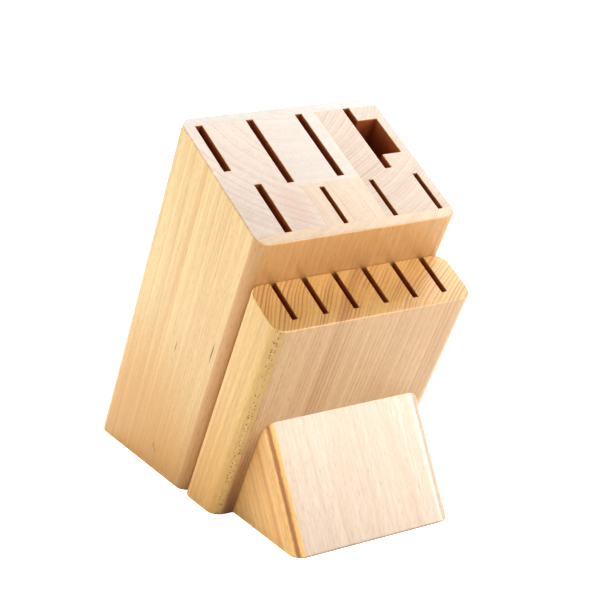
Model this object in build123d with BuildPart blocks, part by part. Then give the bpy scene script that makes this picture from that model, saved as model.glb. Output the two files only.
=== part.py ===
from build123d import *
import os
from math import cos, radians, sin, tan

# Leaning kitchen knife block in laminated beech, millimetres, +Z up, front towards -Y.
# A main block with two rows of blade slots leans forward. A lower block with a row of
# steak-knife slots is glued to its front, and a triangular wedge holds both up.
# The origin is on the floor, midway between the toe of the wedge and the heel of the block.

# ---------------------------------------------------------------- driving dimensions
BLOCK_WIDTH = 130.0          # both blocks, side to side
LEAN_ANGLE = 29.25           # both blocks lean this far forward from upright, degrees

MAIN_DEPTH = 107.3           # main block, front face to rear face
MAIN_LENGTH = 208.0          # main block, front face, floor to top end
COVER_THICKNESS = 7.3        # boards that close the slots at the front and rear faces
LEFT_PLANK_WIDTH = 46.0
RIGHT_PLANK_WIDTH = 44.0

FRONT_DEPTH = 36.7           # lower front block, front face to glued face
FRONT_LENGTH = 178.0         # lower front block, glued face, floor line to top end

WEDGE_LEFT_INSET = 13.1      # left side of the wedge, in from the blocks' left side
WEDGE_RIGHT_INSET = 9.9      # right side of the wedge, in from the blocks' right side
WEDGE_RISE = 80.3            # up the front face of the front block, floor to sharp edge
WEDGE_REACH = 76.1           # along the floor, front block to toe

MAIN_CORNER_RADIUS = 7.3     # long edges of the main block, within the cover boards
FRONT_CORNER_RADIUS = 8.5    # long edges of the front block
WEDGE_CORNER_RADIUS = 8.5    # sloping edges of the wedge
TOP_EASE = 0.8               # sanded break of the edges round each top end
FLOOR_EASE = 1.2             # sanded break of the edges that stand on the floor

# Slots: width, how far each one is sawn into the wood, and the distance from a side of the
# block to the middle of the row's end slots. What differs from slot to slot runs left to right.
LARGE_SLOT_WIDTH = 4.7
SMALL_SLOT_WIDTH = 3.3
STEAK_SLOT_WIDTH = 3.7
ROW_SEPARATION = 6.6         # wood between the narrow front slots and the long rear slots
REAR_SLOT_SHORTFALLS = (15.4, 0.0, 0.0, 0.8)
REAR_ROW_LEFT_INSET = 9.5
REAR_ROW_RIGHT_INSET = 22.0
NARROW_SLOT_REACH = 30.8
FRONT_SLOT_REACHES = (39.6, NARROW_SLOT_REACH, NARROW_SLOT_REACH, NARROW_SLOT_REACH)
FRONT_ROW_LEFT_INSET = 21.9
FRONT_ROW_RIGHT_INSET = 8.1
STEAK_SLOT_COUNT = 6
STEAK_ROW_INSET = 16.0       # both end slots
STEAK_SLOT_REACH = 29.0

# Scissors pocket: a blind mortise that opens into the right-hand rear slot.
POCKET_WALL = 6.5            # wood left between it and the right side
POCKET_LENGTH = 31.0         # front to rear
POCKET_INSET = 11.9          # its rear wall, in front of the rear cover
POCKET_DEPTH = 130.0

# Two hidden glued dowels join the wedge to the front block.
DOWEL_DIAMETER = 8.0
DOWEL_LENGTH = 36.0
DOWEL_HEIGHT = 34.0          # up the joint from the floor
DOWEL_HOLE_CLEARANCE = 0.1   # on the radius
DOWEL_END_ROOM = 1.0         # glue room past each end
DOWEL_CHAMFER = 0.8

# ---------------------------------------------------------------- derived positions
lean = radians(LEAN_ANGLE)
left_side = -BLOCK_WIDTH / 2
right_side = BLOCK_WIDTH / 2
left_joint = left_side + LEFT_PLANK_WIDTH
right_joint = right_side - RIGHT_PLANK_WIDTH
core_front = COVER_THICKNESS
core_rear = MAIN_DEPTH - COVER_THICKNESS
front_row_end = core_front + NARROW_SLOT_REACH
middle_joint = front_row_end + ROW_SEPARATION / 2
long_slot_end = front_row_end + ROW_SEPARATION

# The rear slots are evenly spaced. The middle two front slots are each midway between two
# rear slots, and the front row's end slots are set in from the sides.
rear_count = len(REAR_SLOT_SHORTFALLS)
rear_pitch = (BLOCK_WIDTH - REAR_ROW_LEFT_INSET - REAR_ROW_RIGHT_INSET) / (rear_count - 1)
rear_slots = [left_side + REAR_ROW_LEFT_INSET + index * rear_pitch for index in range(rear_count)]
front_slots = [
    left_side + FRONT_ROW_LEFT_INSET,
    (rear_slots[1] + rear_slots[2]) / 2,
    (rear_slots[2] + rear_slots[3]) / 2,
    right_side - FRONT_ROW_RIGHT_INSET,
]
front_slot_widths = (LARGE_SLOT_WIDTH, SMALL_SLOT_WIDTH, SMALL_SLOT_WIDTH, SMALL_SLOT_WIDTH)
steak_pitch = (BLOCK_WIDTH - 2 * STEAK_ROW_INSET) / (STEAK_SLOT_COUNT - 1)
steak_slots = [left_side + STEAK_ROW_INSET + index * steak_pitch for index in range(STEAK_SLOT_COUNT)]
dowel_spacing = 2 * steak_pitch      # each dowel is midway between two steak slots

heel = MAIN_DEPTH / cos(lean)
toe = -FRONT_DEPTH / cos(lean) - WEDGE_REACH
base_y = -(heel + toe) / 2

# Local frame of the leaning blocks: x is side to side, y is up and to the rear across the
# block, z is along the grain. Its origin is where the main block's front face meets the floor.
block_frame = Plane(origin=(0, base_y, 0), x_dir=(1, 0, 0), z_dir=(0, -sin(lean), cos(lean)))
block_axis = Axis(block_frame.origin, block_frame.z_dir)

FLOOR_MARGIN = 5.0           # spare length that the level cut takes off
foot_depth = MAIN_DEPTH * tan(lean) + FLOOR_MARGIN
section_plane = block_frame.offset(-foot_depth)
full_run = foot_depth + MAIN_LENGTH + FLOOR_MARGIN


# ---------------------------------------------------------------- shared steps
def leaning_bar(near, far, corner_radius, top):
    """A bar with rounded long edges, cut level at the floor and eased at both ends."""
    with BuildPart() as bar:
        with BuildSketch(section_plane):
            with Locations((0, (near + far) / 2)):
                RectangleRounded(BLOCK_WIDTH, far - near, corner_radius)
        extrude(amount=foot_depth + top)
        split(bisect_by=Plane.XY, keep=Keep.TOP)
        top_face = bar.faces().sort_by(block_axis)[-1]
        fillet(top_face.edges(), radius=TOP_EASE)
        floor_face = bar.faces().sort_by(Axis.Z)[0]
        fillet(floor_face.edges(), radius=FLOOR_EASE)
    return bar.part


def rectangle_between(left, right, near, far):
    """Rectangle in the section plane of the blocks, placed by its four sides."""
    with Locations(((left + right) / 2, (near + far) / 2)):
        Rectangle(right - left, far - near)


def slot_between(position, width, near, far):
    """Cut one straight slot through the whole length of the wood."""
    with BuildSketch(section_plane) as slot:
        rectangle_between(position - width / 2, position + width / 2, near, far)
    extrude(slot.sketch, amount=full_run, mode=Mode.SUBTRACT)


def cut_blade_slots():
    """Slots sawn into the glued core from its rear face and from its front face."""
    for position, shortfall in zip(rear_slots, REAR_SLOT_SHORTFALLS):
        slot_between(position, LARGE_SLOT_WIDTH, long_slot_end + shortfall, core_rear)
    for position, width, reach in zip(front_slots, front_slot_widths, FRONT_SLOT_REACHES):
        slot_between(position, width, core_front, core_front + reach)


def cut_scissors_pocket():
    """Blind mortise from the top end, open on its left into the right-hand rear slot."""
    pocket_rear = core_rear - POCKET_INSET
    with BuildSketch(block_frame.offset(MAIN_LENGTH)) as mouth:
        rectangle_between(rear_slots[-1], right_side - POCKET_WALL, pocket_rear - POCKET_LENGTH, pocket_rear)
    extrude(mouth.sketch, amount=-POCKET_DEPTH, mode=Mode.SUBTRACT)


def keep_between(left, right, near, far):
    """Keep one stave of the bar that is being built."""
    with BuildSketch(section_plane) as stave:
        rectangle_between(left, right, near, far)
    extrude(stave.sketch, amount=full_run, mode=Mode.INTERSECT)


def finish_piece(piece, name):
    """Label a finished piece and write it to its own file."""
    piece.part.label = name
    export_step(piece.part, f"parts/{name}.step")


os.makedirs("parts", exist_ok=True)
main_bar = leaning_bar(0, MAIN_DEPTH, MAIN_CORNER_RADIUS, MAIN_LENGTH)
front_bar = leaning_bar(-FRONT_DEPTH, 0, FRONT_CORNER_RADIUS, FRONT_LENGTH)

# ---------------------------------------------------------------- main block
with BuildPart() as front_cover:
    add(main_bar)
    keep_between(left_side, right_side, 0, core_front)
finish_piece(front_cover, "front_cover")

with BuildPart() as rear_cover:
    add(main_bar)
    keep_between(left_side, right_side, core_rear, MAIN_DEPTH)
finish_piece(rear_cover, "rear_cover")

with BuildPart() as left_plank:
    add(main_bar)
    keep_between(left_side, left_joint, core_front, core_rear)
    cut_blade_slots()
finish_piece(left_plank, "left_plank")

with BuildPart() as middle_front_stave:
    add(main_bar)
    keep_between(left_joint, right_joint, core_front, middle_joint)
    cut_blade_slots()
finish_piece(middle_front_stave, "middle_front_stave")

with BuildPart() as middle_rear_stave:
    add(main_bar)
    keep_between(left_joint, right_joint, middle_joint, core_rear)
    cut_blade_slots()
finish_piece(middle_rear_stave, "middle_rear_stave")

with BuildPart() as right_plank:
    add(main_bar)
    keep_between(right_joint, right_side, core_front, core_rear)
    cut_blade_slots()
    cut_scissors_pocket()
finish_piece(right_plank, "right_plank")

# ---------------------------------------------------------------- front block
# The dowels stand square to the joint between the front block and the wedge.
joint_floor = FRONT_DEPTH * tan(lean)
dowel_plane = Plane(
    origin=block_frame.from_local_coords((0, -FRONT_DEPTH, joint_floor + DOWEL_HEIGHT)),
    x_dir=(1, 0, 0),
    z_dir=-block_frame.y_dir,
)
dowel_hole_depth = DOWEL_LENGTH / 2 + DOWEL_END_ROOM
dowel_hole_radius = DOWEL_DIAMETER / 2 + DOWEL_HOLE_CLEARANCE


def drill_dowel_holes(depth):
    """Two blind holes on the joint plane; a positive depth goes into the wedge."""
    with BuildSketch(dowel_plane) as holes:
        with Locations((-dowel_spacing / 2, 0), (dowel_spacing / 2, 0)):
            Circle(dowel_hole_radius)
    extrude(holes.sketch, amount=depth, mode=Mode.SUBTRACT)


with BuildPart() as front_block:
    add(front_bar)
    for position in steak_slots:
        slot_between(position, STEAK_SLOT_WIDTH, -STEAK_SLOT_REACH, 0)
    drill_dowel_holes(-dowel_hole_depth)
finish_piece(front_block, "front_block")

# ---------------------------------------------------------------- wedge and its dowels
corner_floor = (base_y - FRONT_DEPTH / cos(lean), 0)
corner_top = (corner_floor[0] - WEDGE_RISE * sin(lean), WEDGE_RISE * cos(lean))
corner_toe = (corner_floor[0] - WEDGE_REACH, 0)
slope_axis = Axis((0, 0, 0), (0, corner_top[0] - corner_toe[0], corner_top[1] - corner_toe[1]))

with BuildPart() as support_wedge:
    with BuildSketch(Plane.YZ.offset(left_side + WEDGE_LEFT_INSET)):
        Polygon(corner_floor, corner_top, corner_toe, align=None)
    extrude(amount=BLOCK_WIDTH - WEDGE_LEFT_INSET - WEDGE_RIGHT_INSET)
    fillet(support_wedge.edges().filter_by(slope_axis), radius=WEDGE_CORNER_RADIUS)
    sole = support_wedge.faces().sort_by(Axis.Z)[0]
    fillet(sole.edges().sort_by(Axis.Y)[:-1], radius=FLOOR_EASE)
    drill_dowel_holes(dowel_hole_depth)
finish_piece(support_wedge, "support_wedge")

for side, name in ((-1, "wedge_dowel_left"), (1, "wedge_dowel_right")):
    with BuildPart() as wedge_dowel:
        with BuildSketch(dowel_plane.offset(-DOWEL_LENGTH / 2)):
            with Locations((side * dowel_spacing / 2, 0)):
                Circle(DOWEL_DIAMETER / 2)
        extrude(amount=DOWEL_LENGTH)
        chamfer(wedge_dowel.edges().filter_by(GeomType.CIRCLE), length=DOWEL_CHAMFER)
    finish_piece(wedge_dowel, name)
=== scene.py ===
"""Beech finish, studio and camera for the leaning knife block.

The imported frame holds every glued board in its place. Each board gets a timber of its own, as if it
came from its own place in a log: growth rings, fibre and ray flecks are one solid pattern, so a
board shows rings on its ends, stripes along its sides and short flecks on its flat faces. The
block then stands in a plain white studio.
"""

import logging
import math
from dataclasses import dataclass, field
from enum import Enum
from typing import Callable, ClassVar

import bpy
from mathutils import Euler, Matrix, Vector


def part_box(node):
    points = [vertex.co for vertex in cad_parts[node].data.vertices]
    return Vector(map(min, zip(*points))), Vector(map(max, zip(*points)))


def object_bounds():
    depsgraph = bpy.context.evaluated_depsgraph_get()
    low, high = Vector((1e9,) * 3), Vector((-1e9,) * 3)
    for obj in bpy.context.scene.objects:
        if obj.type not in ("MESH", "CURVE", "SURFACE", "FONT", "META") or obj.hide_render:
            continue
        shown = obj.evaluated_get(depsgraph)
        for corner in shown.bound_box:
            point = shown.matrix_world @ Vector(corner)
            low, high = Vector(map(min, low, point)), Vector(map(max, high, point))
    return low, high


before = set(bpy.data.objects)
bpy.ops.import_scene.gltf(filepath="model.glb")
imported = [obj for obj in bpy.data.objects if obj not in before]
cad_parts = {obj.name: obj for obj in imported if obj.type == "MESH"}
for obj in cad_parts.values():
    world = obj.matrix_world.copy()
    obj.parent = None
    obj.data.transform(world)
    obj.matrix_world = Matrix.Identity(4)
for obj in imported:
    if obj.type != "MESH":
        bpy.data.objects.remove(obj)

CAD_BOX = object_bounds()
MILLIMETRES = 1000.0

# Limits of a face normal that looks forwards, and that tilts up or down.
FRONTWARD = -0.3
TILT = 0.1

# The display curve of sRGB.
TOP_LEVEL = 255.0
SRGB_TOE = 0.04045
SRGB_SLOPE = 12.92
SRGB_OFFSET = 0.055
SRGB_POWER = 2.4

log = logging.getLogger("knife_block")

Colour = tuple[float, float, float]
Size = tuple[float, float, float]
Band = tuple[float, float]


def stain(red: int, green: int, blue: int) -> Colour:
    """Turn a display colour into the linear colour that shaders use.

    Args:
        red: Red, 0 to 255.
        green: Green, 0 to 255.
        blue: Blue, 0 to 255.

    Returns:
        The linear colour.
    """
    def linear(level: int) -> float:
        """Linear value of one display level."""
        share = level / TOP_LEVEL
        if share <= SRGB_TOE:
            return share / SRGB_SLOPE
        return ((share + SRGB_OFFSET) / (1.0 + SRGB_OFFSET)) ** SRGB_POWER

    return linear(red), linear(green), linear(blue)


def direction(azimuth: float, elevation: float) -> Vector:
    """Unit vector towards a place round the object.

    Args:
        azimuth: Degrees round the object, 0 in front and 90 on its right.
        elevation: Degrees above the floor.

    Returns:
        The vector.
    """
    turn = math.radians(azimuth)
    rise = math.radians(elevation)
    return Vector((math.sin(turn) * math.cos(rise), -math.cos(turn) * math.cos(rise), math.sin(rise)))


# ------------------------------------------------------------------------------ where the boards lie
class Grain(Enum):
    """Which way the fibres of a board run."""

    UP_THE_BLOCK = "up the leaning blocks"
    DOWN_THE_SLOPE = "down the slope of the foot"
    ACROSS_THE_JOINT = "square to the joint of foot and block"


@dataclass(frozen=True)
class Lie:
    """A leaning plane of the object, and the local frame that stands on it.

    Attributes:
        lean: How far the fibres lean forward from upright, in radians.
        foot: Where the plane meets the floor, along Y, in metres.
    """

    lean: float
    foot: float

    @classmethod
    def of_face(cls, node: str, facing: Callable[[Vector], bool]) -> "Lie":
        """Measure the largest flat face of a board.

        Args:
            node: The board's node.
            facing: Says whether a face normal is one to be measured.

        Returns:
            The lie of that face.
        """
        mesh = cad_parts[node].data
        face = max((p for p in mesh.polygons if facing(p.normal)), key=lambda p: p.area)
        normal = face.normal
        offset = normal.dot(mesh.vertices[face.vertices[0]].co)
        return cls(lean=math.atan2(-normal.z, -normal.y), foot=offset / normal.y)

    @property
    def turn(self) -> tuple[float, float, float]:
        """Rotation that stands the local frame upright."""
        return -self.lean, 0.0, 0.0

    @property
    def shift(self) -> tuple[float, float, float]:
        """Move, in millimetres, that puts the local origin on the floor line."""
        run = -self.foot * MILLIMETRES
        return 0.0, run * math.cos(self.lean), -run * math.sin(self.lean)

    def local(self, point: Vector) -> Vector:
        """A point of the frame, in millimetres in the local frame."""
        return Euler(self.turn).to_matrix() @ (point * MILLIMETRES) + Vector(self.shift)


@dataclass(frozen=True)
class Hull:
    """The outside of a glued block, as a box in its leaning frame, in millimetres.

    Attributes:
        middle: Its middle.
        half_size: Half its size each way.
        corner: Radius of its long corners.
    """

    middle: Size
    half_size: Size
    corner: float

    @classmethod
    def of_boards(cls, nodes: tuple[str, ...], lie: Lie, corner: float) -> "Hull":
        """Measure the box round some boards.

        Args:
            nodes: The boards' nodes.
            lie: The lie of the block.
            corner: Radius of its long corners.

        Returns:
            The box.
        """
        corners = [lie.local(vertex.co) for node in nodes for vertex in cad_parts[node].data.vertices]
        low = Vector(min(corner[axis] for corner in corners) for axis in range(3))
        high = Vector(max(corner[axis] for corner in corners) for axis in range(3))
        return cls(tuple((low + high) / 2), tuple((high - low) / 2), corner)


# --------------------------------------------------------------------------------------- node helper
class Desk:
    """Adds nodes to one tree and links them."""

    def __init__(self, tree: bpy.types.NodeTree) -> None:
        """Take the tree to work in."""
        self.tree = tree

    def add(self, kind: str, settings: dict | None = None, **inputs: object) -> bpy.types.Node:
        """Add a node.

        Args:
            kind: The node's type name.
            settings: Properties of the node.
            inputs: Values or sockets for its inputs, with _ for a space in a name.

        Returns:
            The new node.
        """
        node = self.tree.nodes.new(kind)
        for name, value in (settings or {}).items():
            setattr(node, name, value)
        for name, value in inputs.items():
            self.feed(node.inputs[name.replace("_", " ")], value)
        return node

    def feed(self, socket: bpy.types.NodeSocket, value: object) -> None:
        """Link a socket to another one, or set its value."""
        if isinstance(value, bpy.types.NodeSocket):
            self.tree.links.new(value, socket)
        elif isinstance(value, tuple) and socket.type == "RGBA":
            socket.default_value = (*value, 1.0)
        else:
            socket.default_value = value

    def math(self, operation: str, *values: object) -> bpy.types.NodeSocket:
        """Result of a scalar operation on one to three values."""
        node = self.add("ShaderNodeMath", {"operation": operation})
        for socket, value in zip(node.inputs, values):
            self.feed(socket, value)
        return node.outputs[0]

    def vector(self, operation: str, *values: object) -> bpy.types.NodeSocket:
        """Result of a vector operation on one or two values."""
        node = self.add("ShaderNodeVectorMath", {"operation": operation})
        for socket, value in zip((s for s in node.inputs if s.enabled), values):
            self.feed(socket, value)
        return node.outputs["Value" if operation in ("LENGTH", "DOT_PRODUCT") else "Vector"]

    def ramp(self, value: object, band: Band = (0.0, 1.0),
             results: Band = (0.0, 1.0)) -> bpy.types.NodeSocket:
        """Smooth step of a value.

        Args:
            value: The value or socket.
            band: Where the step starts and ends.
            results: Result below the step and above it.

        Returns:
            The stepped socket.
        """
        low, high = band
        start, end = results
        return self.add("ShaderNodeMapRange", {"interpolation_type": "SMOOTHSTEP"}, Value=value, From_Min=low,
                        From_Max=high, To_Min=start, To_Max=end).outputs["Result"]

    def swing(self, value: object, reach: object, middle: object = 0.0) -> bpy.types.NodeSocket:
        """Swing a value of 0 to 1 about another value.

        Args:
            value: The value or socket.
            reach: From the lowest result to the highest.
            middle: The result where the value is halfway.

        Returns:
            The swung socket.
        """
        return self.math("MULTIPLY_ADD", self.math("SUBTRACT", value, 0.5), reach, middle)

    def parts(self, vector: object) -> bpy.types.NodeOutputs:
        """The X, Y and Z of a vector."""
        return self.add("ShaderNodeSeparateXYZ", None, Vector=vector).outputs

    def mix(self, share: object, first: object, second: object,
            blend: str = "MIX") -> bpy.types.NodeSocket:
        """Mix two colours.

        Args:
            share: How much of the second colour shows.
            first: The first colour.
            second: The second colour.
            blend: How they are blended.

        Returns:
            The mixed colour.
        """
        node = self.add("ShaderNodeMix", {"data_type": "RGBA", "blend_type": blend})
        self.feed(node.inputs[0], share)
        self.feed(node.inputs[6], first)
        self.feed(node.inputs[7], second)
        return node.outputs[2]

    def noise(self, vector: object, scale: float = 1.0, detail: float = 2.0) -> bpy.types.Node:
        """Noise in three dimensions, at a scale in turns per unit."""
        return self.add("ShaderNodeTexNoise", None, Vector=vector, Scale=scale, Detail=detail)


class Group(Desk):
    """A shader node group with named inputs and outputs."""

    def __init__(self, name: str, inputs: dict[str, object], outputs: dict[str, str]) -> None:
        """Start the group.

        Args:
            name: The group's name.
            inputs: Default value of each input, by name.
            outputs: Socket type of each output, by name.
        """
        super().__init__(bpy.data.node_groups.new(name, "ShaderNodeTree"))
        for label, value in inputs.items():
            kind = "NodeSocketFloat" if isinstance(value, float) else "NodeSocketVector"
            socket = self.tree.interface.new_socket(label, in_out="INPUT", socket_type=kind)
            socket.default_value = value
        for label, kind in outputs.items():
            self.tree.interface.new_socket(label, in_out="OUTPUT", socket_type=kind)
        self.given = self.tree.nodes.new("NodeGroupInput").outputs
        self.results = self.tree.nodes.new("NodeGroupOutput").inputs


# ------------------------------------------------------------------------------- shared wood effects
def per(size: Size) -> Size:
    """Turns per millimetre of a pattern, from its size in millimetres."""
    across, deep, along = size
    return 1 / across, 1 / deep, 1 / along


class WoodEffects:
    """The node groups that every beech finish is put together from.

    Sizes are in millimetres. A BAND is where a smooth step starts and ends.
    """

    FLAT = (1.0, 1.0, 0.0)
    HALFWAY = (0.5, 0.5, 0.5)

    DRIFT_SIZE = (42.0, 42.0, 420.0)

    PACE_SCALE = 0.31
    PACE_REACH = 1.3
    LATE_RISE_BAND = (0.45, 0.86)
    LATE_FALL_BAND = (0.90, 1.0)

    FINE_SIZE = (0.6, 0.6, 8.0)
    STREAK_SIZE = (2.6, 2.6, 140.0)
    CLOUD_SIZE = (26.0, 26.0, 70.0)

    FLECK_BAND = (0.08, 0.42)
    END_BAND = (0.72, 0.94)

    RAG_PACE = (1.6, 1.6, 0.35)
    RAG_REACH = 0.9
    STREAK_BAND = (0.75, 1.45)

    EDGE_BAND = (0.45, 1.0)
    EDGE_ARC = 1.1
    TEAR_SCALE = 0.9
    TEAR_REACH = (2.4, 2.4, 0.0)
    NICK_BAND = (0.12, 0.32)
    NICK_WEIGHT_BAND = (0.2, 0.6)
    CROWD_LENGTH = 16.0
    CROWD_BAND = (0.38, 0.56)
    CROWD_LEAST = 0.3

    FLOOR_BAND = (0.3, 1.2)
    # How deep inside the slots the darker bare wood and the painted recess shade reach.
    CORE_BAND = (0.3, 1.1)

    def __init__(self) -> None:
        """Build every group once."""
        self.log_space = self.build_log_space()
        self.rings = self.build_rings()
        self.fibre = self.build_fibre()
        self.flecks = self.build_flecks()
        self.end_grain = self.build_end_grain()
        self.streak = self.build_streak()
        self.nicks = self.build_nicks()
        self.sawn_and_shade = self.build_sawn_and_shade()

    def build_log_space(self) -> bpy.types.NodeTree:
        """Cylinder coordinates round the pith: across the rays, out from the pith, along the fibres."""
        group = Group(
            "log_space",
            {"Place": (0.0, 0.0, 0.0), "Pith": (0.0, 0.0, 0.0), "Facing": 0.0, "Reach": 60.0,
             "Wander": 3.0, "Seed": 0.0},
            {"Log Place": "NodeSocketVector"},
        )
        place = group.given["Place"]
        seeded = group.vector("ADD", place, group.given["Seed"])
        slow = group.vector("MULTIPLY", seeded, per(self.DRIFT_SIZE))
        drift = group.vector("SUBTRACT", group.noise(slow, detail=1.0).outputs["Color"], self.HALFWAY)
        wander = group.add("ShaderNodeVectorMath", {"operation": "SCALE"}, Vector=drift,
                           Scale=group.given["Wander"])
        offset = group.vector("ADD", group.vector("SUBTRACT", place, group.given["Pith"]), wander.outputs[0])
        turned = group.add("ShaderNodeVectorRotate", {"rotation_type": "Z_AXIS"}, Vector=offset,
                           Angle=group.math("MULTIPLY", group.given["Facing"], -1.0))
        part = group.parts(turned.outputs[0])
        radius = group.vector("LENGTH", group.vector("MULTIPLY", offset, self.FLAT))
        arc = group.math("MULTIPLY", group.math("ARCTAN2", part["Y"], part["X"]), group.given["Reach"])
        joined = group.add("ShaderNodeCombineXYZ", None, X=arc, Y=radius, Z=group.parts(place)["Z"])
        group.feed(group.results["Log Place"], joined.outputs[0])
        return group.tree

    def build_rings(self) -> bpy.types.NodeTree:
        """Growth rings: a thin dark late line on each ring, and a tone of its own for each ring."""
        group = Group(
            "growth_rings",
            {"Log Place": (0.0, 0.0, 0.0), "Pitch": 2.2, "Taper": 0.01, "Seed": 0.0},
            {"Late Line": "NodeSocketFloat", "Ring Tone": "NodeSocketFloat"},
        )
        part = group.parts(group.given["Log Place"])
        tapered = group.math("MULTIPLY_ADD", part["Z"], group.given["Taper"], part["Y"])
        even = group.math("DIVIDE", tapered, group.given["Pitch"])
        seeded = group.math("ADD", even, group.given["Seed"])
        pace = group.add("ShaderNodeTexNoise", {"noise_dimensions": "1D"}, W=seeded, Scale=self.PACE_SCALE,
                         Detail=1.0)
        turn = group.math("MULTIPLY_ADD", pace.outputs["Fac"], self.PACE_REACH, seeded)
        share = group.math("FRACT", turn)
        rise = group.ramp(share, self.LATE_RISE_BAND)
        fall = group.ramp(share, self.LATE_FALL_BAND, (1.0, 0.0))
        ring = group.add("ShaderNodeTexWhiteNoise", {"noise_dimensions": "1D"}, W=group.math("FLOOR", turn))
        group.feed(group.results["Late Line"], group.math("MULTIPLY", rise, fall))
        group.feed(group.results["Ring Tone"], ring.outputs["Value"])
        return group.tree

    def build_fibre(self) -> bpy.types.NodeTree:
        """Fine fibre streaks, and slow streaks and clouds of tone, all drawn out along the grain."""
        group = Group(
            "fibre",
            {"Place": (0.0, 0.0, 0.0), "Seed": 0.0},
            {"Fine": "NodeSocketFloat", "Streak": "NodeSocketFloat", "Cloud": "NodeSocketFloat"},
        )
        seeded = group.vector("ADD", group.given["Place"], group.given["Seed"])
        layers = {"Fine": (self.FINE_SIZE, 2.0), "Streak": (self.STREAK_SIZE, 2.0),
                  "Cloud": (self.CLOUD_SIZE, 1.0)}
        for label, (size, detail) in layers.items():
            stretched = group.vector("MULTIPLY", seeded, per(size))
            group.feed(group.results[label], group.noise(stretched, detail=detail).outputs["Fac"])
        return group.tree

    def build_flecks(self) -> bpy.types.NodeTree:
        """Medullary rays: thin ribbons that stand on the rings, cut to dashes on the flat faces."""
        group = Group(
            "ray_flecks",
            {"Log Place": (0.0, 0.0, 0.0), "Across": 0.8, "Along": 5.5, "Depth": 9.0, "Seed": 0.0},
            {"Fleck": "NodeSocketFloat"},
        )
        seeded = group.vector("ADD", group.given["Log Place"], group.given["Seed"])
        cell = group.add("ShaderNodeCombineXYZ", None, X=group.given["Across"], Y=group.given["Depth"],
                         Z=group.given["Along"])
        stretched = group.vector("DIVIDE", seeded, cell.outputs[0])
        dots = group.add("ShaderNodeTexVoronoi", {"feature": "F1"}, Vector=stretched, Scale=1.0)
        weight = group.add("ShaderNodeSeparateColor", None, Color=dots.outputs["Color"]).outputs[0]
        dash = group.ramp(dots.outputs["Distance"], self.FLECK_BAND, (1.0, 0.0))
        group.feed(group.results["Fleck"], group.math("MULTIPLY", dash, weight))
        return group.tree

    def build_end_grain(self) -> bpy.types.NodeTree:
        """How squarely a surface cuts the fibres: 0 along a board, 1 on its ends."""
        group = Group(
            "end_grain",
            {"Normal": (0.0, 0.0, 1.0), "Fibre Way": (0.0, 0.0, 1.0)},
            {"End": "NodeSocketFloat"},
        )
        facing = group.vector("DOT_PRODUCT", group.given["Normal"], group.given["Fibre Way"])
        square = group.math("ABSOLUTE", facing)
        group.feed(group.results["End"], group.ramp(square, self.END_BAND))
        return group.tree

    def build_streak(self) -> bpy.types.NodeTree:
        """One spindle-shaped streak at a place in the board."""
        group = Group(
            "spindle_streak",
            {"Place": (0.0, 0.0, 0.0), "Middle": (0.0, 0.0, 0.0), "Half Size": (1.0, 1.0, 8.0)},
            {"Streak": "NodeSocketFloat"},
        )
        away = group.vector("SUBTRACT", group.given["Place"], group.given["Middle"])
        shaped = group.vector("DIVIDE", away, group.given["Half Size"])
        ragged = group.noise(group.vector("MULTIPLY", group.given["Place"], self.RAG_PACE))
        reach = group.math("MULTIPLY_ADD", ragged.outputs["Fac"], self.RAG_REACH,
                           group.vector("LENGTH", shaped))
        group.feed(group.results["Streak"], group.ramp(reach, self.STREAK_BAND, (1.0, 0.0)))
        return group.tree

    def build_nicks(self) -> bpy.types.NodeTree:
        """Small torn nicks, left by the router along one long rounded edge."""
        group = Group(
            "router_nicks",
            {"Place": (0.0, 0.0, 0.0), "Edge": (0.0, 0.0, 0.0), "Spacing": 2.6, "Width": 2.2, "Seed": 0.0},
            {"Nick": "NodeSocketFloat"},
        )
        away = group.vector("SUBTRACT", group.given["Place"], group.given["Edge"])
        from_edge = group.vector("LENGTH", group.vector("MULTIPLY", away, self.FLAT))
        near = group.ramp(group.math("DIVIDE", from_edge, group.given["Width"]), self.EDGE_BAND, (1.0, 0.0))
        part = group.parts(away)
        round_edge = group.math("MULTIPLY", group.math("SUBTRACT", part["X"], part["Y"]), self.EDGE_ARC)
        along = group.math("ADD", part["Z"], group.given["Seed"])
        flat = group.add("ShaderNodeCombineXYZ", None, X=round_edge, Y=along).outputs[0]
        torn = group.vector("SUBTRACT", group.noise(flat, self.TEAR_SCALE).outputs["Color"], self.HALFWAY)
        hooked = group.vector("ADD", flat, group.vector("MULTIPLY", torn, self.TEAR_REACH))
        per_millimetre = group.math("DIVIDE", 1.0, group.given["Spacing"])
        dots = group.add("ShaderNodeTexVoronoi", {"feature": "F1", "voronoi_dimensions": "2D"}, Vector=hooked,
                         Scale=per_millimetre)
        weight = group.add("ShaderNodeSeparateColor", None, Color=dots.outputs["Color"]).outputs[0]
        dot = group.ramp(dots.outputs["Distance"], self.NICK_BAND, (1.0, 0.0))
        slow = group.vector("MULTIPLY", flat, (0.0, 1 / self.CROWD_LENGTH, 0.0))
        crowd = group.noise(slow, detail=1.0).outputs["Fac"]
        kept = group.math("MULTIPLY", group.ramp(weight, self.NICK_WEIGHT_BAND),
                          group.ramp(crowd, self.CROWD_BAND, (self.CROWD_LEAST, 1.0)))
        group.feed(group.results["Nick"], group.math("MULTIPLY", group.math("MULTIPLY", near, dot), kept))
        return group.tree

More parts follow.
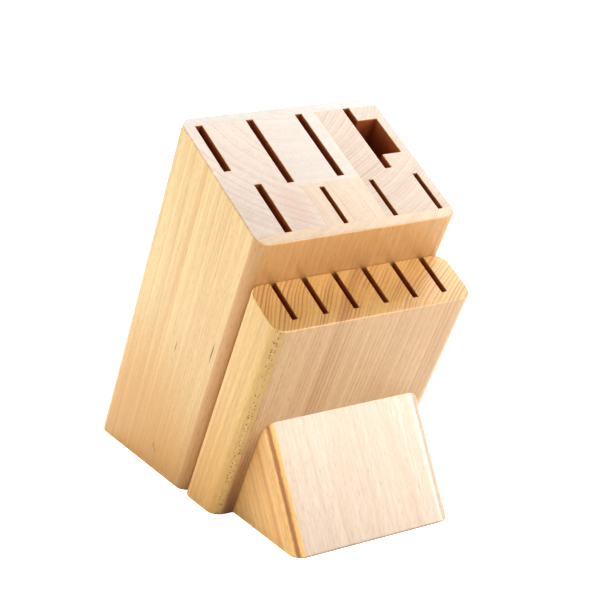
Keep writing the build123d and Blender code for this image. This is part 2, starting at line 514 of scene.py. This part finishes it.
    def build_sawn_and_shade(self) -> bpy.types.NodeTree:
        """Darker bare saw-cut wood inside the slots, together with painted recess shade there: whatever lies
        deeper than the outside of a block.
        """
        group = Group(
            "sawn_wood_and_recess_shade",
            {"Place": (0.0, 0.0, 0.0), "Middle": (0.0, 0.0, 0.0), "Half Size": (1.0, 1.0, 1.0), "Corner": 1.0,
             "Height": 1.0},
            {"Inside": "NodeSocketFloat"},
        )
        away = group.vector("ABSOLUTE", group.vector("SUBTRACT", group.given["Place"], group.given["Middle"]))
        beyond = group.vector("SUBTRACT", away, group.given["Half Size"])
        rounded = group.vector("ADD", beyond, group.given["Corner"])
        part = group.parts(rounded)
        flat = group.math("MINIMUM", group.math("MAXIMUM", part["X"], part["Y"]), 0.0)
        bend = group.vector("MULTIPLY", group.vector("MAXIMUM", rounded, (0.0, 0.0, 0.0)), self.FLAT)
        outline = group.math("ADD", group.vector("LENGTH", bend), flat)
        wall = group.math("SUBTRACT", outline, group.given["Corner"])
        depth = group.math("MULTIPLY", group.math("MAXIMUM", wall, group.parts(beyond)["Z"]), -1.0)
        above_floor = group.ramp(group.given["Height"], self.FLOOR_BAND)
        inside = group.math("MULTIPLY", group.ramp(depth, self.CORE_BAND), above_floor)
        group.feed(group.results["Inside"], inside)
        return group.tree


# ------------------------------------------------------------------------------------------ finishes
@dataclass(frozen=True)
class Streak:
    """A streak of another colour on a board: mostly streaks in the wood, and some painted shade.

    Attributes:
        middle: Its middle, in the leaning frame, in millimetres.
        half_size: Half its size each way, in millimetres.
        colour: Its colour.
        strength: How much of that colour shows.
    """

    middle: Size
    half_size: Size
    colour: Colour = stain(124, 64, 14)
    strength: float = 0.85


@dataclass(frozen=True)
class Timber:
    """One board's wood and finish. Lengths are in millimetres, in the leaning frame.

    Attributes:
        name: The finish's name.
        pith: Where the log's pith ran past the board, side to side and front to rear.
        pitch: Ring spacing.
        seed: Offset of every pattern.
        side_light: Pale wood on the long faces.
        side_dark: Ring lines on the long faces.
        end_light: Pale wood on the end faces.
        end_dark: Ring lines on the end faces.
        flank: Pale wood on the faces that look left or right, where it differs; on the wedge it is also
            lightened as painted light.
        side_rings: How strongly rings show on the long faces.
        end_rings: How strongly rings show on the end faces.
        flecks: How strongly the rays show.
        taper: How fast the rings widen along the board.
        wander: How far the rings wander.
        tone: How much the tone varies along the board.
        roughness: Roughness of the lacquer on the long faces.
        end_roughness: Roughness of the lacquer on the ends.
        streaks: Streaks of another colour; some of them are painted shade.
        heart_band: Radius and half width of a band of darker rings, or None.
        torn_edge: A long edge with router nicks, or None.
    """

    name: str
    pith: tuple[float, float]
    pitch: float = 2.2
    seed: float = 0.0
    side_light: Colour = stain(214, 187, 127)
    side_dark: Colour = stain(190, 144, 80)
    end_light: Colour = stain(167, 146, 118)
    end_dark: Colour = stain(138, 102, 68)
    flank: Colour | None = None
    side_rings: float = 0.5
    end_rings: float = 0.5
    flecks: float = 0.35
    taper: float = 0.012
    wander: float = 3.0
    tone: float = 0.5
    roughness: float = 0.46
    end_roughness: float = 0.42
    streaks: tuple[Streak, ...] = ()
    heart_band: tuple[float, float] | None = None
    torn_edge: tuple[float, float] | None = None


@dataclass(frozen=True)
class Pattern:
    """The shared effects as they come out in one material.

    Attributes:
        place: Place in the board, in millimetres, with Z along its fibres.
        log_place: The same place round the pith.
        normal: The surface's normal, in the object's own frame.
        end: 0 along the board, 1 on its ends.
        rings: Late line and tone of the growth rings.
        fibre: Fine fibre, streaks and clouds.
        fleck: The ray flecks.
    """

    place: bpy.types.NodeSocket
    log_place: bpy.types.NodeSocket
    normal: bpy.types.NodeSocket
    end: bpy.types.NodeSocket
    rings: bpy.types.NodeOutputs
    fibre: bpy.types.NodeOutputs
    fleck: bpy.types.NodeSocket


class BeechFinish:
    """Makes the material of one board."""

    FLECK = (0.62, 0.44, 0.32)
    # Tint inside the slots: darker bare wood and painted recess shade.
    SAWN_AND_SHADE_TINT = (0.70, 0.36, 0.25)
    NICK = stain(128, 66, 12)
    NICK_STRENGTH = 0.95
    SAPWOOD = (1.0, 0.95, 0.86)
    SAPWOOD_SHARE = 0.10

    RING_LEAST = 0.35
    RING_SPREAD = 0.75
    CLOUD_BAND = (0.32, 0.62)
    CLOUD_FADE = (0.35, 1.15)
    HEART = 0.5
    LEFT_BAND = (-0.4, -0.08)
    RIGHT_BAND = (0.5, 0.9)
    FLANK_RINGS = 0.35

    RING_TONE = 0.10
    END_TONE = 0.3
    TONE_BAND = (0.30, 0.70)
    TONE_MOST = 0.40
    FINE_BAND = (0.30, 0.70)
    FINE_TINT = (0.935, 1.05)
    END_FLECKS = 0.35

    FIBRE_HEIGHT = 0.5
    BUMP_STRENGTH = 0.5
    BUMP_DEPTH = 0.00006
    GLOSS_REACH = 0.10
    IOR = 1.5
    COAT = 1.0
    COAT_ROUGHNESS = 0.36

    def __init__(self, effects: WoodEffects, lie: Lie, grain: Grain, hull: Hull | None = None) -> None:
        """Take the shared effects, how the board's fibres run, and the outside of a block with slots."""
        self.effects = effects
        self.lie = lie
        self.grain = grain
        self.hull = hull

    def fibre_way(self) -> Size:
        """Unit vector along the fibres, in the object's own frame."""
        if self.grain is Grain.ACROSS_THE_JOINT:
            return 0.0, math.cos(self.lie.lean), math.sin(self.lie.lean)
        return 0.0, -math.sin(self.lie.lean), math.cos(self.lie.lean)

    def place(self, desk: Desk) -> bpy.types.NodeSocket:
        """Place in the board, in millimetres, with Z along its fibres."""
        coordinates = desk.add("ShaderNodeTexCoord")
        turn = self.lie.turn
        if self.grain is Grain.ACROSS_THE_JOINT:
            turn = (math.pi / 2 - self.lie.lean, 0.0, 0.0)
        mapping = desk.add("ShaderNodeMapping", {"vector_type": "POINT"},
                           Vector=coordinates.outputs["Object"], Location=self.lie.shift, Rotation=turn,
                           Scale=(MILLIMETRES,) * 3)
        return mapping.outputs[0]

    def use(self, desk: Desk, tree: bpy.types.NodeTree, **inputs: object) -> bpy.types.NodeOutputs:
        """Place a shared group in a material and return its outputs."""
        return desk.add("ShaderNodeGroup", {"node_tree": tree}, **inputs).outputs

    def pattern(self, desk: Desk, node: str, timber: Timber) -> Pattern:
        """Place the shared effects of one board.

        Args:
            desk: Where the material is put together.
            node: The board's node.
            timber: The board's wood.

        Returns:
            The effects' results.
        """
        place = self.place(desk)
        low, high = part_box(node)
        from_pith = self.lie.local((low + high) / 2).xy - Vector(timber.pith)
        log_place = self.use(
            desk, self.effects.log_space, Place=place, Pith=(*timber.pith, 0.0),
            Facing=math.atan2(from_pith.y, from_pith.x), Reach=from_pith.length, Wander=timber.wander,
            Seed=timber.seed)["Log Place"]
        normal = desk.add("ShaderNodeTexCoord").outputs["Normal"]
        return Pattern(
            place=place,
            log_place=log_place,
            normal=normal,
            end=self.use(desk, self.effects.end_grain, Normal=normal, Fibre_Way=self.fibre_way())["End"],
            rings=self.use(desk, self.effects.rings, Log_Place=log_place, Pitch=timber.pitch,
                           Taper=timber.taper, Seed=timber.seed),
            fibre=self.use(desk, self.effects.fibre, Place=place, Seed=timber.seed),
            fleck=self.use(desk, self.effects.flecks, Log_Place=log_place, Seed=timber.seed)["Fleck"],
        )

    def ring_line(self, desk: Desk, pattern: Pattern, timber: Timber) -> bpy.types.NodeSocket:
        """How dark the ring line is, uneven from ring to ring and fading along the board."""
        strength = desk.ramp(pattern.end, results=(timber.side_rings, timber.end_rings))
        uneven = desk.math("MULTIPLY_ADD", pattern.rings["Ring Tone"], self.RING_SPREAD, self.RING_LEAST)
        fade = desk.ramp(pattern.fibre["Cloud"], self.CLOUD_BAND, self.CLOUD_FADE)
        line = desk.math("MULTIPLY", pattern.rings["Late Line"], desk.math("MULTIPLY", strength, uneven))
        line = desk.math("MULTIPLY", line, fade)
        if timber.heart_band:
            middle, half_width = timber.heart_band
            radius = desk.parts(pattern.log_place)["Y"]
            away = desk.math("ABSOLUTE", desk.math("SUBTRACT", radius, middle))
            line = desk.math("ADD", line, desk.ramp(away, (0.0, half_width), (self.HEART, 0.0)))
        return line

    def wood_colour(self, desk: Desk, pattern: Pattern, timber: Timber) -> bpy.types.NodeSocket:
        """Colour of the clear wood: pale wood, ring lines and the slow change of tone."""
        line = self.ring_line(desk, pattern, timber)
        side_light = timber.side_light
        # Faces that look left or right take the flank colour, which on the wedge is partly painted light.
        if timber.flank:
            across = desk.parts(pattern.normal)["X"]
            sideways = desk.math("ADD", desk.ramp(across, self.LEFT_BAND, (1.0, 0.0)),
                                 desk.ramp(across, self.RIGHT_BAND))
            side_light = desk.mix(sideways, side_light, timber.flank)
            line = desk.math("MULTIPLY", line, desk.ramp(sideways, results=(1.0, self.FLANK_RINGS)))
        pale = desk.mix(pattern.end, side_light, timber.end_light)
        dark = desk.mix(pattern.end, timber.side_dark, timber.end_dark)
        colour = desk.mix(line, pale, dark)

        tone = desk.ramp(pattern.end, results=(timber.tone, timber.tone * self.END_TONE))
        ring_tone = desk.swing(pattern.rings["Ring Tone"], self.RING_TONE, 0.5)
        slow = desk.swing(pattern.fibre["Streak"], tone, ring_tone)
        softened = desk.mix(self.SAPWOOD_SHARE, colour, self.SAPWOOD)
        return desk.mix(desk.ramp(slow, self.TONE_BAND, (0.0, self.TONE_MOST)), softened, dark)

    def grained(self, desk: Desk, pattern: Pattern, colour: bpy.types.NodeSocket) -> bpy.types.NodeSocket:
        """Darken and lighten a colour with the fine fibre."""
        fine = desk.ramp(pattern.fibre["Fine"], self.FINE_BAND, self.FINE_TINT)
        tint = desk.add("ShaderNodeCombineColor", None, Red=fine, Green=fine, Blue=fine).outputs[0]
        return desk.mix(1.0, colour, tint, "MULTIPLY")

    def streaked(self, desk: Desk, pattern: Pattern, timber: Timber,
                 colour: bpy.types.NodeSocket) -> bpy.types.NodeSocket:
        """Lay a board's streaks, painted shade among them, over a colour."""
        for streak in timber.streaks:
            mark = self.use(desk, self.effects.streak, Place=pattern.place, Middle=streak.middle,
                            Half_Size=streak.half_size)["Streak"]
            colour = desk.mix(desk.math("MULTIPLY", mark, streak.strength), colour, streak.colour)
        return colour

    def sawn_and_shaded(self, desk: Desk, pattern: Pattern, hull: Hull,
              colour: bpy.types.NodeSocket) -> bpy.types.NodeSocket:
        """Darken a colour where it lies inside a block's slots: darker bare wood there, and painted recess
        shade.
        """
        own_place = desk.add("ShaderNodeTexCoord").outputs["Object"]
        height = desk.math("MULTIPLY", desk.parts(own_place)["Z"], MILLIMETRES)
        inside = self.use(desk, self.effects.sawn_and_shade, Place=pattern.place, Middle=hull.middle,
                          Half_Size=hull.half_size, Corner=hull.corner, Height=height)["Inside"]
        return desk.mix(inside, colour, self.SAWN_AND_SHADE_TINT, "MULTIPLY")

    def material(self, node: str, timber: Timber) -> bpy.types.Material:
        """Build the material.

        Args:
            node: The board's node.
            timber: The board's wood.

        Returns:
            The finished material.
        """
        made = bpy.data.materials.new(timber.name)
        made.use_nodes = True
        desk = Desk(made.node_tree)
        pattern = self.pattern(desk, node, timber)
        colour = self.grained(desk, pattern, self.wood_colour(desk, pattern, timber))
        flecks = desk.ramp(pattern.end, results=(timber.flecks, timber.flecks * self.END_FLECKS))
        rays = desk.math("MULTIPLY", pattern.fleck, flecks)
        colour = desk.mix(rays, colour, self.FLECK, "MULTIPLY")
        colour = self.streaked(desk, pattern, timber, colour)
        wounds = rays
        if timber.torn_edge:
            nick = self.use(desk, self.effects.nicks, Place=pattern.place, Edge=(*timber.torn_edge, 0.0),
                            Seed=timber.seed)["Nick"]
            colour = desk.mix(desk.math("MULTIPLY", nick, self.NICK_STRENGTH), colour, self.NICK)
            wounds = desk.math("MAXIMUM", rays, nick)
        # Painted recess shade, with the darker bare wood, inside the slots.
        if self.hull:
            colour = self.sawn_and_shaded(desk, pattern, self.hull, colour)

        raised = desk.math("MULTIPLY", pattern.fibre["Fine"], self.FIBRE_HEIGHT)
        bump = desk.add("ShaderNodeBump", None, Strength=self.BUMP_STRENGTH, Distance=self.BUMP_DEPTH,
                        Height=desk.math("SUBTRACT", raised, wounds))
        dullness = desk.ramp(pattern.end, results=(timber.roughness, timber.end_roughness))
        shader = made.node_tree.nodes["Principled BSDF"]
        desk.feed(shader.inputs["Base Color"], colour)
        desk.feed(shader.inputs["Roughness"], desk.swing(pattern.fibre["Streak"], self.GLOSS_REACH, dullness))
        desk.feed(shader.inputs["Normal"], bump.outputs[0])
        shader.inputs["IOR"].default_value = self.IOR
        shader.inputs["Coat Weight"].default_value = self.COAT
        shader.inputs["Coat Roughness"].default_value = self.COAT_ROUGHNESS
        return made


# ------------------------------------------------------------------------------------ sub-assemblies
class SubAssembly:
    """Boards that are dressed together."""

    def dress(self, node: str, finish: BeechFinish, timber: Timber) -> None:
        """Give a board its wood.

        Args:
            node: The board's node.
            finish: Makes the material.
            timber: The board's wood.
        """
        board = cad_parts[node]
        material = finish.material(node, timber)
        board.data.materials.clear()
        board.data.materials.append(material)
        log.info("%s: %s, fibres %s", node, timber.name, finish.grain.value)


@dataclass
class MainBlock(SubAssembly):
    """The tall block: two planks, two staves between them and a cover board in front and behind."""

    BOARDS: ClassVar[tuple[str, ...]] = (
        "left_plank", "middle_front_stave", "middle_rear_stave", "right_plank", "front_cover", "rear_cover")

    corner: float = 7.3
    left_plank: Timber = Timber(
        "beech_left_plank", pith=(33.0, 111.0), pitch=1.8, seed=3.7, side_rings=0.45, end_rings=0.45,
        end_light=stain(166, 151, 138), end_dark=stain(129, 103, 88),
        streaks=(
            Streak((-65.0, 12.0, 112.5), (2.0, 0.9, 10.5)),
            Streak((-65.0, 48.0, 81.0), (2.0, 0.6, 6.0)),
            Streak((-65.0, 41.5, -3.0), (2.0, 1.1, 4.2)),
            Streak((-65.0, 38.8, -4.5), (2.0, 0.8, 3.6)),
            Streak((-30.0, 24.0, 208.0), (12.0, 26.0, 30.0), stain(160, 126, 108), 0.35),
            Streak((-65.0, 87.0, 100.0), (4.0, 1.0, 400.0), stain(236, 204, 146), 0.5),
            Streak((-65.0, 60.0, 110.0), (4.0, 2.2, 300.0), stain(232, 200, 140), 0.4),
            Streak((-65.0, 67.5, 110.0), (4.0, 3.0, 320.0), stain(200, 146, 76), 0.35),
            # Painted shade: the left face turns darker and more orange towards the floor.
            Streak((-65.0, 54.0, -20.0), (6.0, 120.0, 120.0), stain(200, 142, 52), 0.5),
        ))
    middle_front_stave: Timber = Timber(
        "beech_middle_front_stave", pith=(-165.0, 18.0), pitch=2.3, seed=11.3, end_rings=0.4,
        end_light=stain(166, 147, 124), end_dark=stain(139, 112, 84))
    middle_rear_stave: Timber = Timber(
        "beech_middle_rear_stave", pith=(10.0, 230.0), pitch=2.6, seed=17.9, end_rings=0.18,
        end_light=stain(159, 149, 140), end_dark=stain(141, 125, 110))
    right_plank: Timber = Timber(
        "beech_right_plank", pith=(-35.0, 160.0), pitch=2.2, seed=23.1, end_rings=0.55,
        end_light=stain(152, 134, 114), end_dark=stain(126, 94, 68))
    front_cover: Timber = Timber(
        "beech_front_cover", pith=(-86.0, 130.0), pitch=1.5, seed=31.7, side_rings=0.35,
        side_light=stain(204, 159, 97), side_dark=stain(184, 135, 79), end_rings=0.35)
    rear_cover: Timber = Timber(
        "beech_rear_cover", pith=(60.0, 230.0), pitch=1.8, seed=37.9, end_rings=0.2,
        end_light=stain(155, 147, 140), end_dark=stain(138, 122, 108))

    def build(self, effects: WoodEffects, lie: Lie) -> None:
        """Dress every board of the block."""
        finish = BeechFinish(effects, lie, Grain.UP_THE_BLOCK, Hull.of_boards(self.BOARDS, lie, self.corner))
        for node in self.BOARDS:
            self.dress(node, finish, getattr(self, node))


@dataclass
class FrontBlock(SubAssembly):
    """The low block in front, cut from one board with strong rings."""

    corner: float = 8.5
    front_block: Timber = Timber(
        "beech_front_block", pith=(172.0, -173.0), pitch=2.2, seed=43.3, side_rings=0.7, end_rings=1.25,
        side_light=stain(205, 174, 131), side_dark=stain(180, 134, 88), flank=stain(219, 186, 111),
        end_light=stain(192, 153, 79), end_dark=stain(148, 96, 30), wander=6.0,
        streaks=(
            # Painted shade: the left face turns darker and more orange towards the floor.
            Streak((-65.0, -18.0, 0.0), (6.0, 50.0, 130.0), stain(212, 154, 52), 0.3),
            # Painted contact shadow: the rounded front-left edge darkens beside the wedge.
            Streak((-56.0, -36.7, 30.0), (5.0, 6.0, 70.0), stain(150, 90, 44), 0.5),
        ),
        heart_band=(239.0, 5.0), torn_edge=(-61.9, -34.7))

    def build(self, effects: WoodEffects, lie: Lie) -> None:
        """Dress the block."""
        hull = Hull.of_boards(("front_block",), lie, self.corner)
        self.dress("front_block", BeechFinish(effects, lie, Grain.UP_THE_BLOCK, hull), self.front_block)


@dataclass
class SupportFoot(SubAssembly):
    """The wedge that the blocks lean on, and the two dowels that hold it."""

    support_wedge: Timber = Timber(
        "beech_support_wedge", pith=(10.0, 170.0), pitch=2.6, seed=53.9, side_rings=0.35, flecks=0.4,
        # Flank: the wood's yellow side colour, made lighter as painted light for the left face that the
        # blocks keep light off.
        side_light=stain(186, 167, 149), side_dark=stain(170, 144, 116), flank=stain(235, 190, 110),
        streaks=(
            # Painted shade along the wedge's rounded front-left edge.
            Streak((-48.8, 1.9, 40.0), (1.9, 1.9, 400.0), stain(158, 98, 44), 0.75),
            Streak((-51.9, 10.0, 40.0), (3.0, 2.0, 400.0), stain(244, 208, 146), 0.5),
            Streak((-51.9, 14.5, 40.0), (3.0, 2.6, 400.0), stain(218, 156, 74), 0.45),
            Streak((-51.9, 21.0, 40.0), (3.0, 2.2, 400.0), stain(242, 198, 122), 0.4),
        ))
    dowel: Timber = Timber("beech_dowel", pith=(60.0, 90.0), pitch=1.4, seed=61.1, flecks=0.7)

    def build(self, effects: WoodEffects, lie: Lie, slope: Lie) -> None:
        """Dress the wedge and its dowels."""
        self.dress("support_wedge", BeechFinish(effects, slope, Grain.DOWN_THE_SLOPE), self.support_wedge)
        across = BeechFinish(effects, lie, Grain.ACROSS_THE_JOINT)
        for node in ("wedge_dowel_left", "wedge_dowel_right"):
            self.dress(node, across, self.dowel)


# -------------------------------------------------------------------------------------------- studio
@dataclass(frozen=True)
class SoftBox:
    """A square studio lamp that looks at the object.

    Attributes:
        name: The lamp's name.
        azimuth: Degrees round the object, 0 in front and 90 on its right.
        elevation: Degrees above the floor.
        distance: Metres from the object.
        side: Side of its face, in metres.
        power: Watts.
    """

    name: str
    azimuth: float
    elevation: float
    distance: float
    side: float
    power: float

    def hang(self, target: Vector) -> bpy.types.Object:
        """Hang the lamp so that it looks at a target, and return it."""
        away = direction(self.azimuth, self.elevation)
        data = bpy.data.lights.new(self.name, "AREA")
        data.shape = "SQUARE"
        data.size = self.side
        data.energy = self.power
        lamp = bpy.data.objects.new(self.name, data)
        lamp.location = target + away * self.distance
        lamp.rotation_euler = away.to_track_quat("Z", "Y").to_euler()
        bpy.context.scene.collection.objects.link(lamp)
        return lamp


@dataclass(frozen=True)
class Viewpoint:
    """The camera. Lengths are in metres and angles in degrees.

    Attributes:
        target: The point that it looks at.
        azimuth: Round the object, 0 in front and negative on its left.
        elevation: Above the floor.
        distance: From the target.
        lens: Focal length in millimetres.
        sensor: Sensor width in millimetres.
        reach: How far it sees.
    """

    target: Size = (0.0218, -0.0024, 0.1082)
    azimuth: float = -30.61
    elevation: float = 17.765
    distance: float = 1.0295
    lens: float = 98.73
    sensor: float = 36.0
    reach: float = 100.0

    def set_up(self) -> bpy.types.Object:
        """Make the scene's camera and return it."""
        back = direction(self.azimuth, self.elevation)
        data = bpy.data.cameras.new("view_camera")
        data.lens = self.lens
        data.sensor_width = self.sensor
        data.clip_end = self.reach
        camera = bpy.data.objects.new("view_camera", data)
        camera.location = Vector(self.target) + back * self.distance
        camera.rotation_euler = back.to_track_quat("Z", "Y").to_euler()
        bpy.context.scene.collection.objects.link(camera)
        bpy.context.scene.camera = camera
        return camera


@dataclass
class Studio:
    """White floor, white room and soft boxes.

    Attributes:
        floor_radius: Radius of the round floor, in metres.
        floor_sides: How many sides its outline has.
        floor_colour: How much light it throws back on the object.
        floor_roughness: Its roughness.
        floor_lift: Light of its own, which only the camera sees.
        room_light: Light that the white room throws on the object.
        lamps: The soft boxes.
        contrast: Gamma of the display.
        viewpoint: The camera.
    """

    floor_radius: float = 12.0
    floor_sides: int = 96
    floor_colour: Colour = (0.68, 0.68, 0.68)
    floor_roughness: float = 0.9
    floor_lift: float = 1.0
    room_light: float = 0.03
    lamps: tuple[SoftBox, ...] = (
        SoftBox("right_key", azimuth=50.0, elevation=21.0, distance=1.6, side=0.5, power=16.5),
        SoftBox("front_box", azimuth=16.0, elevation=42.0, distance=1.6, side=0.8, power=19.0),
        SoftBox("right_box", azimuth=115.0, elevation=42.0, distance=1.6, side=0.8, power=13.0),
        SoftBox("rear_right_box", azimuth=160.0, elevation=55.0, distance=1.6, side=0.8, power=18.0),
        SoftBox("rear_left_box", azimuth=-150.0, elevation=28.0, distance=1.6, side=0.8, power=18.0),
        SoftBox("left_box", azimuth=-80.0, elevation=22.0, distance=1.2, side=0.8, power=7.8),
        SoftBox("front_left_box", azimuth=-48.0, elevation=8.0, distance=1.6, side=0.8, power=1.5),
    )
    contrast: float = 0.70
    viewpoint: Viewpoint = field(default_factory=Viewpoint)

    def build(self, target: Vector) -> None:
        """Set up the floor, the room, the lamps, the camera and the display curve."""
        self.lay_floor()
        self.paint_room()
        for lamp in self.lamps:
            lamp.hang(target)
        self.viewpoint.set_up()
        view = bpy.context.scene.view_settings
        view.view_transform = "Standard"
        view.look = "None"
        view.gamma = self.contrast
        log.info("studio: %d lamps", len(self.lamps))

    def lay_floor(self) -> bpy.types.Object:
        """Lay the plain white floor and return it."""
        bpy.ops.object.select_all(action="DESELECT")
        bpy.ops.mesh.primitive_circle_add(vertices=self.floor_sides, radius=self.floor_radius,
                                          fill_type="NGON")
        floor = bpy.context.active_object
        floor.name = "studio_floor"
        material = bpy.data.materials.new("studio_floor")
        material.use_nodes = True
        desk = Desk(material.node_tree)
        shader = material.node_tree.nodes["Principled BSDF"]
        desk.feed(shader.inputs["Base Color"], self.floor_colour)
        shader.inputs["Roughness"].default_value = self.floor_roughness
        shader.inputs["Specular IOR Level"].default_value = 0.0
        desk.feed(shader.inputs["Emission Color"], (1.0, 1.0, 1.0))
        seen = desk.add("ShaderNodeLightPath").outputs["Is Camera Ray"]
        desk.feed(shader.inputs["Emission Strength"], desk.math("MULTIPLY", seen, self.floor_lift))
        floor.data.materials.append(material)
        return floor

    def paint_room(self) -> None:
        """Make the room white: full white where it is seen, and softer as a light."""
        world = bpy.data.worlds.new("white_room")
        bpy.context.scene.world = world
        world.use_nodes = True
        desk = Desk(world.node_tree)
        background = world.node_tree.nodes["Background"]
        desk.feed(background.inputs["Color"], (1.0, 1.0, 1.0))
        seen = desk.add("ShaderNodeLightPath").outputs["Is Camera Ray"]
        strength = desk.math("MULTIPLY_ADD", seen, 1.0 - self.room_light, self.room_light)
        desk.feed(background.inputs["Strength"], strength)


def main() -> None:
    """Dress the object and set up the studio."""
    logging.basicConfig(level=logging.INFO, format="%(name)s %(message)s")
    effects = WoodEffects()
    lie = Lie.of_face("front_cover", lambda normal: normal.y < FRONTWARD and normal.z < -TILT)
    slope = Lie.of_face("support_wedge", lambda normal: normal.y < FRONTWARD and normal.z > TILT)
    MainBlock().build(effects, lie)
    FrontBlock().build(effects, lie)
    SupportFoot().build(effects, lie, slope)
    low, high = CAD_BOX
    Studio().build((low + high) / 2)


if __name__ == "__main__":
    main()
